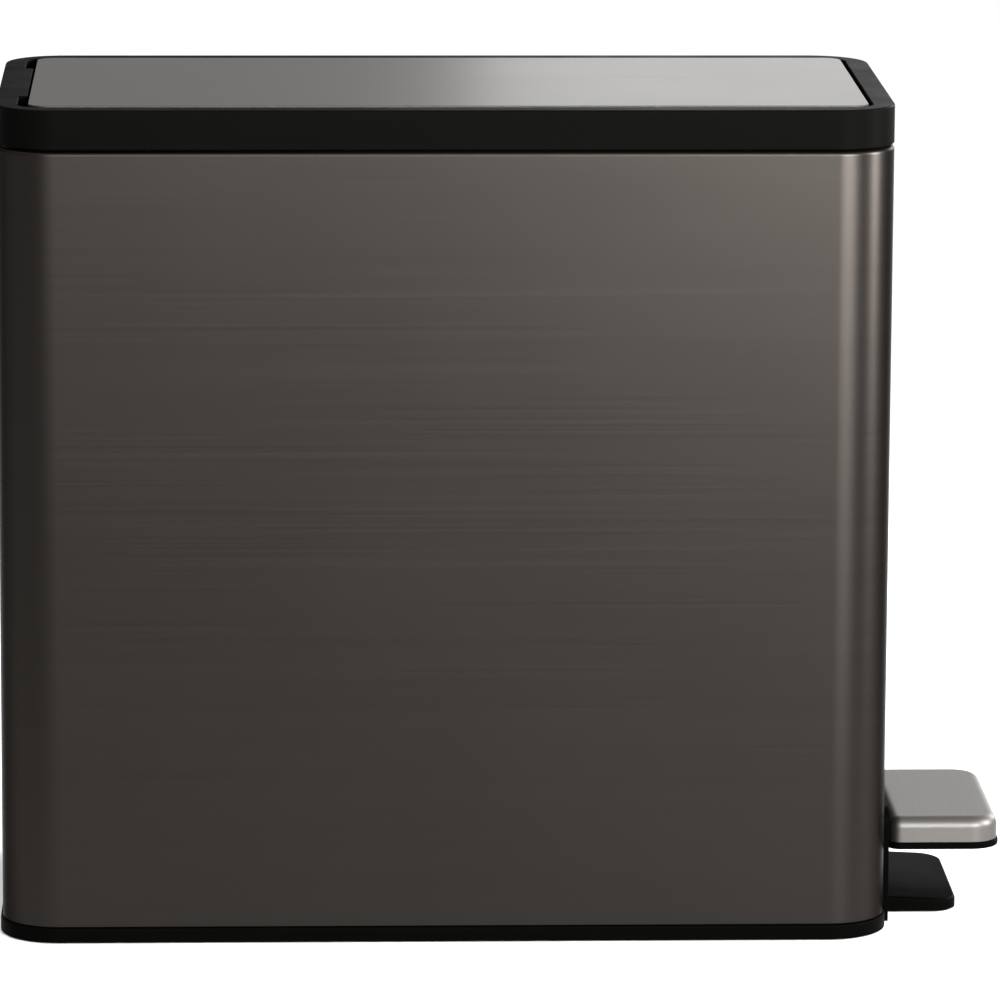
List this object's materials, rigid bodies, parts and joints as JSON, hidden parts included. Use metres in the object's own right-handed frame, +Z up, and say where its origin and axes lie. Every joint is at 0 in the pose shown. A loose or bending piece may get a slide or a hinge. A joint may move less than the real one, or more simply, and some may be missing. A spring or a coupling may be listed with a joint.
{
  "type": "pedal trash can",
  "caption": "Slim rectangular kitchen pedal bin: brushed steel shell, black rim and base, hinged steel lid opened by a foot pedal at one end through a lever and push rod.",
  "frame": {"origin": "middle of the footprint, pedal included, on the floor", "axes": "+X along the bin towards the pedal, +Y across it, +Z up; the lid's hinge is at the -X end"},
  "size_m": [0.7234, 0.303, 0.6],
  "materials": {
    "shell_steel": "fine horizontal brush, dark warm tint",
    "lid_steel": "fine brush, warm natural steel",
    "black_plastic": "fine moulded texture, satin",
    "bucket_plastic": "smooth satin moulding",
    "zinc_steel": "zinc plated, dull",
    "nylon": "natural nylon",
    "rubber": "matte moulded rubber"
  },
  "bodies": {
    "bin": {"body_shell": "shell_steel", "base_tray": "black_plastic", "top_rim": "black_plastic", "pedal_surround": "black_plastic", "toe_plate": "black_plastic", "inner_bucket": "bucket_plastic", "rear_channel_cover": "zinc_steel", "pedal_axle": "zinc_steel", "damper_cylinder": "black_plastic", "damper_bracket": "nylon", "rod_guide_lower": "nylon", "rod_guide_upper": "nylon", "axle_bracket_left": "zinc_steel", "axle_bracket_right": "zinc_steel", "axle_clip_left": "zinc_steel", "axle_clip_right": "zinc_steel", "hinge_pin_left": "zinc_steel", "hinge_pin_right": "zinc_steel", "lid_bumper_left": "rubber", "lid_bumper_right": "rubber", "rubber_foot_front_left": "rubber", "rubber_foot_front_right": "rubber", "rubber_foot_rear_left": "rubber", "rubber_foot_rear_right": "rubber", "bracket_screw_1": "zinc_steel", "bracket_screw_2": "zinc_steel", "bracket_screw_3": "zinc_steel", "bracket_screw_4": "zinc_steel", "toe_plate_screw_1": "zinc_steel", "toe_plate_screw_2": "zinc_steel"},
    "lid": {"lid_panel": "lid_steel", "lid_frame": "black_plastic", "crank_pin": "zinc_steel"},
    "pedal": {"pedal_cap": "lid_steel", "pedal_tray": "black_plastic", "pedal_lever": "zinc_steel", "lever_pin": "zinc_steel", "axle_bush_left": "nylon", "axle_bush_right": "nylon", "pedal_screw_1": "zinc_steel", "pedal_screw_2": "zinc_steel"},
    "rod": {"push_rod": "zinc_steel", "damper_piston_rod": "zinc_steel", "piston_clamp": "nylon"}
  },
  "joints": [
    {"name": "lid_hinge", "type": "hinge", "parent": "bin", "child": "lid", "pos_m": [-0.3492, 0, 0.5874], "axis": [0, -1, 0], "range_deg": [0, 75]},
    {"name": "pedal_pivot", "type": "hinge", "parent": "bin", "child": "pedal", "pos_m": [-0.0334, 0, 0.032], "axis": [0, 1, 0], "range_deg": [0, 5.19]},
    {"name": "rod_slide", "type": "slide", "parent": "bin", "child": "rod", "axis": [0, 0, 1], "range_m": [0, 0.0268]}
  ],
  "couplings": [
    {"joint": "pedal_pivot", "follows": "lid_hinge", "ratio": 0.069145},
    {"joint": "rod_slide", "follows": "lid_hinge", "m_per_rad": 0.020463}
  ]
}
